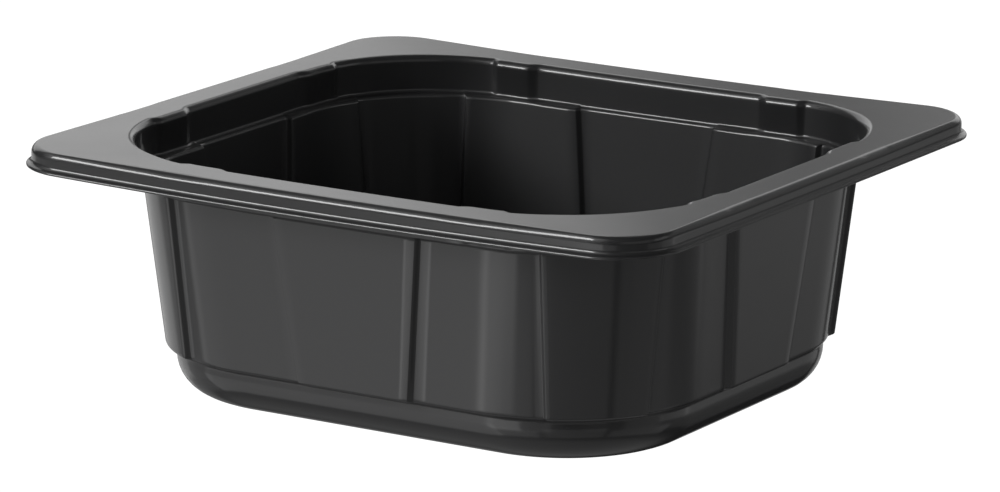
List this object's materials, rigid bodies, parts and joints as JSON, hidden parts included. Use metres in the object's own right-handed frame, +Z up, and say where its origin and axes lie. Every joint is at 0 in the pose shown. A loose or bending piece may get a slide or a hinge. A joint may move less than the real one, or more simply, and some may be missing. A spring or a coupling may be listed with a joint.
{
  "type": "empty plastic food tray",
  "caption": "Open rectangular thermoformed plastic food tray with a wide flat rim, turned-down lip, stacking lugs, stepped panel walls and a rounded foot.",
  "frame": {"origin": "centre of the tray's outline on the plane that the flat base stands on", "axes": "+X along the longer side of the rim, +Y along the shorter side, +Z up out of the open mouth"},
  "size_m": [0.176, 0.162, 0.0622],
  "materials": {
    "black_plastic": "black thermoformed polypropylene sheet, satin to semi-gloss, brighter along the bends"
  },
  "bodies": {
    "root": {"tray": "black_plastic"}
  },
  "joints": []
}
